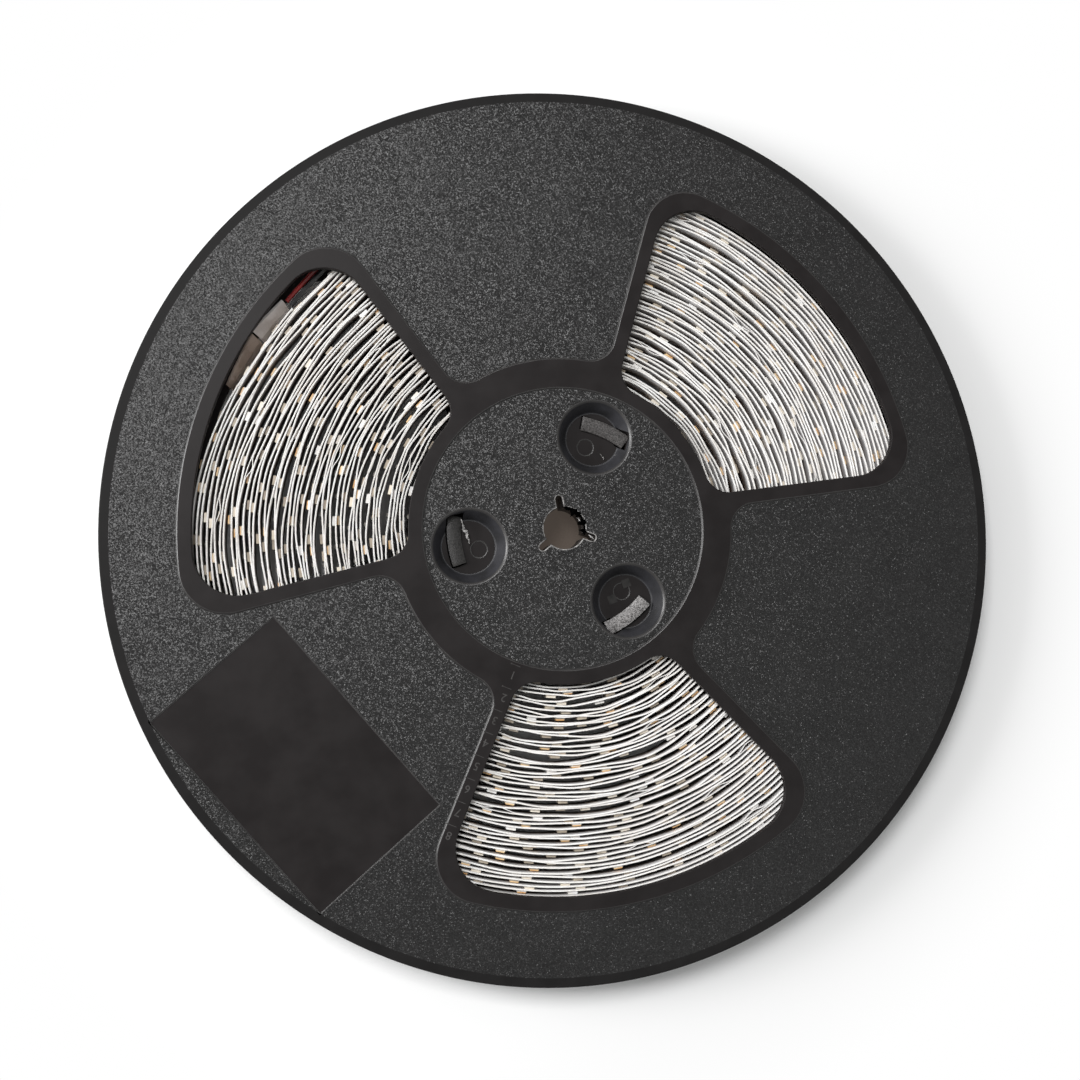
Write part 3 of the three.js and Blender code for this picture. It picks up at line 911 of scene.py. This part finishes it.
def slivers():
    """Ragged burrs in the pockets and at the bore, and two worn pads on a pocket's floor."""
    made = bmesh.new()
    floor = HALF_HEIGHT + POCKET_FLOOR + WORN_PAD_LIFT
    for place in WORN_PADS:
        reach = WORN_PAD_WIDTH / math.sqrt(2)
        corners = [Vector(place) + polar(reach, WORN_PAD_TURN + TURN / 4 * i) for i in range(4)]
        pad = made.faces.new([made.verts.new((*corner, floor)) for corner in corners])
        pad.material_index = 1
    for start, end, width, height in SLIVERS:
        start, end = Vector(start), Vector(end)
        side = (end - start).normalized().orthogonal()
        count = max(4, round((end - start).length / SLIVER_STEP))
        rings = []
        for i in range(count + 1):
            share = i / count
            swell = SLIVER_LEAST + SLIVER_SWELL * abs(wobble(share * 17, start.y, 4))
            half_side = side * (width * swell * math.sin(math.pi * share) / 2 + SLIVER_EDGE)
            centre = start.lerp(end, share) + side * (SLIVER_WANDER * wobble(share * 6, start.x))
            top = height + SLIVER_WANDER * wobble(share * 11, start.x, 9)
            low = top - SLIVER_THICKNESS
            one, two = centre - half_side, centre + half_side
            corners = ((*one, top), (*two, top), (*two, low), (*one, low))
            rings.append([made.verts.new(corner) for corner in corners])
        add_bar(made, rings)
    return finished_mesh("slivers", made)


# The wound strip

def strip_radius(angle, turns):
    """Radius of the outer side of the strip at an angle, that many turns before its end."""
    away = abs((angle - FLAT_ANGLE + math.pi) % TURN - math.pi)
    pull = math.cos(TURN / 4 * away / FLAT_HALF_WIDTH) ** 2 if away < FLAT_HALF_WIDTH else 0
    return ROLL_RADIUS - TURN_PITCH * turns - FLAT_DEPTH * pull * ((TURNS - turns) / TURNS) ** 2


def bunching(radius, angle):
    """How far the turns are pushed out where they bunch up; none at the core and the outside."""
    from_core = radius - CORE_RADIUS - CALM_AT_CORE
    from_outside = ROLL_RADIUS - CALM_AT_OUTSIDE - radius
    free = smooth_step(from_core / CALM_FADE) * smooth_step(from_outside / CALM_FADE)
    return free * sum(
        height * wobble(angle * waves, radius / width, seed) for height, waves, width, seed in BUNCHES
    )


def turn_radius(angle, turns):
    """Radius of the outer face of the circuit film."""
    radius = strip_radius(angle, turns) - LED_HEIGHT - LED_ROOM
    return radius + bunching(radius, angle) + wavy(turns, SLACK)


def rise(turns):
    """How far the strip stands above or below its middle height."""
    return wavy(turns, RISES)


def winding(spacing=1.0):
    """Steps along the strip from its end inwards, as (angle, turns, length so far)."""
    turns, length = 0.0, 0.0
    steps = []
    while turns < TURNS - 1:
        angle = STRIP_END_ANGLE + TURN * turns
        steps.append((angle, turns, length))
        turns += spacing / strip_radius(angle, turns) / TURN
        length += spacing
    return steps


def ribbon(name, sections):
    """A long strip from sections of (angle, inner radius, outer radius, low, high, turns)."""
    made = bmesh.new()
    layer = made.loops.layers.uv.new("UVMap")
    rings = []
    for angle, inner, outer, low, high, _ in sections:
        near, far = polar(inner, angle), polar(outer, angle)
        corners = [(*near, low), (*far, low), (*far, high), (*near, high)]
        rings.append([made.verts.new(corner) for corner in corners])
    for (one, two), here, there in zip(zip(rings, rings[1:]), sections, sections[1:]):
        # Inside the outermost turn the outward face takes film_face, the painted-shade copy of the
        # outside film
        face_slot = FACE if here[5] > 1 else OUTSIDE
        for i, slot in enumerate((EDGE, face_slot, EDGE, BACK)):
            j = (i + 1) % 4
            face = made.faces.new((one[i], two[i], two[j], one[j]))
            face.material_index = slot
            for loop, section, across in zip(face.loops, (here, there, there, here), (i, i, j, j)):
                loop[layer].uv = (section[5], 1 if across in (2, 3) else 0)
    for ring in (rings[0], list(reversed(rings[-1]))):
        made.faces.new(ring)
    return finished_mesh(name, made)


def circuit_sections():
    sections = []
    for angle, turns, _ in winding(CIRCUIT_STEP):
        outer = turn_radius(angle, turns)
        inner = outer - CIRCUIT_THICKNESS
        lift = rise(turns)
        sections.append((angle, inner, outer, ROLL_LOW + lift, ROLL_HIGH + lift, turns))
    return sections


def loose_waves():
    """Where the liner waves into a wide gap, as (start, end, height) along the strip."""
    chance = random.Random(5)
    waves, spots = [], []
    wait = 0
    for angle, turns, length in winding():
        if length < wait or turns > TURNS - WAVELESS_TURNS:
            continue
        span = chance.uniform(*WAVE_SPAN)
        middle = turns + span / 2 / strip_radius(angle, turns) / TURN
        place = STRIP_END_ANGLE + TURN * middle
        gap = turn_radius(place, middle) - turn_radius(place, middle + 1)
        spot = polar(turn_radius(place, middle), place)
        alone = all((spot - other).length > WAVE_SPACING for other in spots)
        if alone and gap > WIDE_GAP and chance.random() < WAVE_CHANCE:
            waves.append((length, length + span, min(gap - WAVE_ROOM, WAVE_HEIGHT)))
            spots.append(spot)
            wait = length + span
        else:
            wait = length + WAVE_WAIT
    return waves + [(math.inf, math.inf, 0)]


def liner_sections():
    """The liner follows the back of the film, and here and there waves off it towards the core."""
    sections = []
    waves = loose_waves()
    for angle, turns, length in winding(LINER_STEP):
        while waves[0][1] < length:
            waves.pop(0)
        start, end, height = waves[0]
        share = (length - start) / (end - start) if length > start else 0
        wave = 0.5 - 0.5 * math.cos(TURN * share)
        outer = turn_radius(angle, turns) - CIRCUIT_THICKNESS - height * wave
        inner = outer - LINER_THICKNESS
        lift = rise(turns) - LINER_DROP - abs(wavy(turns, LINER_EDGE))
        sections.append((angle, inner, outer, ROLL_LOW + LINER_FOOT, ROLL_HIGH + lift, turns))
    return sections


def brick(made, angle, radius, height, size, slot=0):
    """A block that stands on a turn: size is along the strip, out from it and across it."""
    along, out, across = size
    side = polar(1, angle + TURN / 4)
    face = polar(1, angle)
    corners = []
    for z in (-across / 2, across / 2):
        for x, y in ((-along / 2, 0), (along / 2, 0), (along / 2, out), (-along / 2, out)):
            corners.append(made.verts.new((*(face * (radius + y) + side * x), height + z)))
    a, b, c, d, e, f, g, h = corners
    for quad in ((a, b, c, d), (h, g, f, e), (a, e, f, b), (b, f, g, c), (c, g, h, d), (d, h, e, a)):
        made.faces.new(quad).material_index = slot


def on_strip(pitch, first, last=TURNS):
    """Places along the strip as (angle, turns), with a pitch between them."""
    wanted = first
    places = []
    for angle, turns, length in winding():
        if length >= wanted and turns < last:
            places.append((angle, turns))
            wanted += pitch
    return places


def add_bricks(name, made, materials):
    add_piece(name, finished_mesh(name, made), materials, "strip")


def add_leds():
    """Pale blocks, some with their amber lamp side in view, and a resistor between each two."""
    chance = random.Random(11)
    housings, lamps, resistors = bmesh.new(), bmesh.new(), bmesh.new()
    depth = LED_HEIGHT * (1 - LAMP_SHARE)
    for angle, turns in on_strip(LED_PITCH, LED_PITCH / 2):
        radius = turn_radius(angle, turns)
        height = HALF_HEIGHT + rise(turns) + chance.uniform(-LED_STRAY, LED_STRAY)
        width = HIDDEN_LED_WIDTH if turns > 1 else LED_WIDTH
        lamp_shows = chance.random() < LAMP_CHANCE
        size = (LED_LENGTH, depth if lamp_shows else LED_HEIGHT, width)
        brick(housings, angle, radius, height, size, chance.choice(LED_TONES))
        if lamp_shows:
            size = (LAMP_LENGTH, LED_HEIGHT - depth, width - LAMP_INSET)
            brick(lamps, angle, radius + depth, height, size)
    for angle, turns in on_strip(LED_PITCH, LED_PITCH):
        height = HALF_HEIGHT + rise(turns) - RESISTOR_DROP
        brick(resistors, angle, turn_radius(angle, turns), height, RESISTOR_SIZE)
    # The second and third housing materials are darker copies of the white one: painted shade
    add_bricks("led_housings", housings, [
        finish("led_white", 4, ("f4efe6", "ffffff"), (0.3, 0.45), (0.4, 0.01)),
        finish("led_half_shaded", 4, ("e4d8c4", "f6eee0"), (0.3, 0.45), (0.4, 0.01)),
        finish("led_shaded", 4, ("a09484", "c0b4a2"), (0.3, 0.45), (0.4, 0.01)),
    ])
    add_bricks("led_lamps", lamps, [
        finish("led_phosphor", 3, ("dca86c", "f2d2a0"), (0.25, 0.4), (0.3, 0.01)),
    ])
    add_bricks("resistors", resistors, [
        finish("resistor", 3, ("6e6a64", "9a958e"), (0.3, 0.5), (0.4, 0.01)),
    ])


def add_pads():
    """Copper pads on both sides of each cut line, on the turn that shows from outside."""
    pads = bmesh.new()
    for angle, turns in on_strip(LED_PITCH * LEDS_PER_CUT, LED_PITCH, 1):
        radius = turn_radius(angle, turns)
        middle = HALF_HEIGHT + rise(turns)
        for along in (-PAD_ALONG, PAD_ALONG):
            for across in (-PAD_ACROSS, PAD_ACROSS):
                brick(pads, angle + along / radius, radius, middle + across, PAD_SIZE)
        brick(pads, angle, radius, middle, CUT_LINE_SIZE, 1)
    add_bricks("solder_pads", pads, [
        finish("pad_metal", 2, ("b8794a", "d9a878"), (0.25, 0.4), (0.4, 0.01), Metallic=1.0),
        finish("cut_line", 2, ("4a4440", "6a625c"), (0.5, 0.6), (0.4, 0.01)),
    ])


# The numbers' lighter colour is painted highlight on their low relief
add_piece("frame_numbers", frame_numbers(), [
    finish("number_plastic", 3, ("3c3a39", "4a4847"), (0.35, 0.45), (0.5, 0.006)),
], "reel_plastic")
# The lip's near-black, dull colour is painted shadow of the bore's far wall; its ragged shape is the
# flash
add_piece("torn_lip_and_painted_shadow", torn_lip_and_painted_shadow(), [
    finish("painted_shadow_plastic", 1.5, ("010101", "040404"), (0.5, 0.6), (0.6, 0.03), 0.0),
], "reel_plastic")
add_piece("slivers", slivers(), [
    finish("burr_plastic", 1, ("2c2a29", "b0aeac"), (0.35, 0.5), (0.4, 0.03)),
    finish("pad_plastic", 1.5, ("201f1e", "2c2a29"), (0.4, 0.5), (0.4, 0.02), 0.3),
], "reel_plastic")
circuit = ribbon("circuit_strip", circuit_sections())
liner = ribbon("backing_liner", liner_sections())
add_piece("circuit_strip", circuit, film_materials, "strip", "led_strip_roll")
add_piece("backing_liner", liner, film_materials, "strip")
add_leds()
add_pads()

# The tag, the tape and the lead wires at the end of the strip

for node, material in (
    ("strip_end_tag", finish("tag_paper", 6, ("cdc4c0", "eae4e2"), (0.5, 0.65), (0.3, 0.02))),
    ("tail_tape", finish("tape_film", 5, ("a08e82", "bbaa9f"), (0.2, 0.35), (3, 0.02), Alpha=0.75)),
    ("red_lead_wire", finish("red_insulation", 2, ("641414", "841c1a"), (0.3, 0.42), (1, 0.01))),
    ("black_lead_wire", finish("black_insulation", 2, ("1b1a1b", "2b2a2b"), (0.3, 0.42), (1, 0.01))),
):
    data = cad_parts[node].data
    data.materials.clear()
    data.materials.append(material)

# Camera, lamps and floor

VIEW_TURN = math.radians(11.53)
CAMERA_PLACE = Vector((-63.92, -20.46, 382.04))
CAMERA_AIM = Vector((-8.477, -2.26, 14.0))
LENS = 40
SENSOR = 36

# Lamps as (name, place along the picture's right and up and out of it, metres across, watts, colour)
LAMPS = (
    ("key", (-490, 550, 1240), 0.5, 11.5, (1, 1, 1)),
    ("side", (-880, 130, 400), 0.4, 7.5, (1, 1, 1)),
    ("sheen", (368, -264, 839), 0.25, 0.28, (0.9, 1, 0.95)),
)
ROOM_LIGHT = 0.33

# The floor is shaded up to the first distance in metres, and plain white from the second
WHITE_FLOOR = (0.145, 0.2)
FLOOR_COLOR = "fbfbfb"
FLOOR_SIZE = 8
FLOOR_DROP = 0.05

# Through the bore the floor is painted a dull, even shade, up to the first distance and fading to the
# second
BORE_FLOOR = (0.012, 0.04)
BORE_FLOOR_COLOR = "8c8076"
BORE_PAINTED_SHADE_TONE = "4f4741"
BORE_FLOOR_EVENNESS = 0.7


def aimed(obj, place, aim, up):
    """Puts an object at a place, with its -Z axis at the aim and its +Y axis up."""
    back = (place - aim).normalized()
    right = up.cross(back).normalized()
    above = back.cross(right)
    turn = Matrix((right, above, back)).transposed().to_4x4()
    obj.matrix_world = Matrix.Translation(place * MM) @ turn


def from_view(x, y, z):
    """A place given along the picture's right and up, turned into the model's frame."""
    return Matrix.Rotation(-VIEW_TURN, 3, "Z") @ Vector((x, y, z))


def add_camera():
    data = bpy.data.cameras.new("camera")
    data.lens = LENS
    data.sensor_width = SENSOR
    data.clip_start = 0.01
    data.clip_end = 20
    camera = bpy.data.objects.new("camera", data)
    bpy.context.scene.collection.objects.link(camera)
    aimed(camera, CAMERA_PLACE, CAMERA_AIM, from_view(0, 1, 0))
    bpy.context.scene.camera = camera


def add_lamp(name, place, size, power, color):
    data = bpy.data.lights.new(name, "AREA")
    data.shape = "SQUARE"
    data.size = size
    data.energy = power
    data.color = color
    lamp = bpy.data.objects.new(name, data)
    bpy.context.scene.collection.objects.link(lamp)
    aimed(lamp, from_view(*place), Vector((0, 0, 0)), from_view(0, 1, 0.01))


def add_floor():
    """A white floor that keeps the reel's shadow near it and runs out into plain white.

    Under the bore it is painted a dull, even shade, and it is clear to a camera below it.
    """
    made, tree, shader = new_material("floor")
    place = add_node(tree, "ShaderNodeTexCoord").outputs["Object"]
    reach = add_node(tree, "ShaderNodeVectorMath", {0: place}, operation="LENGTH").outputs["Value"]
    far = add_node(tree, "ShaderNodeMapRange", {
        "Value": reach, "From Min": WHITE_FLOOR[0], "From Max": WHITE_FLOOR[1],
    }, interpolation_type="SMOOTHSTEP").outputs["Result"]
    under = add_node(tree, "ShaderNodeMapRange", {
        "Value": reach, "From Min": BORE_FLOOR[0], "From Max": BORE_FLOOR[1],
    }).outputs["Result"]
    set_inputs(tree, shader, {
        "Base Color": ramp(tree, under, [(0, srgb(BORE_FLOOR_COLOR)), (1, srgb(FLOOR_COLOR))]),
        "Roughness": 0.9,
        "Specular IOR Level": 0.0,
    })
    rays = add_node(tree, "ShaderNodeLightPath").outputs
    seen = calculated(tree, "MAXIMUM", rays["Is Camera Ray"], rays["Is Glossy Ray"])
    seen = calculated(tree, "MAXIMUM", seen, rays["Is Transmission Ray"])
    # Under the bore an even glow in a dull brown tone stands for the shade seen there: painted shade
    even = ramp(tree, under, [(0, BORE_FLOOR_EVENNESS), (1, 0.0)])
    share = calculated(tree, "MULTIPLY", seen, calculated(tree, "MAXIMUM", far, even))
    glow = add_node(tree, "ShaderNodeEmission", {
        "Color": ramp(tree, under, [(0, srgb(BORE_PAINTED_SHADE_TONE)), (1, 1.0)]), "Strength": 1.0,
    }).outputs["Emission"]
    mix = add_node(tree, "ShaderNodeMixShader", {
        "Fac": share, 1: shader.outputs["BSDF"], 2: glow,
    }).outputs["Shader"]
    back = add_node(tree, "ShaderNodeNewGeometry").outputs["Backfacing"]
    clear = add_node(tree, "ShaderNodeBsdfTransparent").outputs["BSDF"]
    mix = add_node(tree, "ShaderNodeMixShader", {
        "Fac": calculated(tree, "MULTIPLY", rays["Is Camera Ray"], back), 1: mix, 2: clear,
    }).outputs["Shader"]
    tree.links.new(mix, tree.nodes["Material Output"].inputs["Surface"])
    bpy.ops.mesh.primitive_plane_add(size=FLOOR_SIZE, location=(0, 0, -FLOOR_DROP * MM))
    floor = bpy.context.object
    floor.name = "floor"
    floor.data.materials.append(made)


def set_world():
    """A plain white room, which the camera sees as white."""
    world = bpy.data.worlds.new("world")
    bpy.context.scene.world = world
    world.use_nodes = True
    tree = world.node_tree
    rays = add_node(tree, "ShaderNodeLightPath")
    shade = add_node(tree, "ShaderNodeMix", {
        "Factor": rays.outputs["Is Camera Ray"], "A": ROOM_LIGHT, "B": 1.0,
    }).outputs["Result"]
    tree.nodes["Background"].inputs["Color"].default_value = (1, 1, 1, 1)
    tree.links.new(shade, tree.nodes["Background"].inputs["Strength"])


add_camera()
set_world()
add_floor()
for lamp in LAMPS:
    add_lamp(*lamp)
bpy.context.scene.view_settings.view_transform = "Standard"
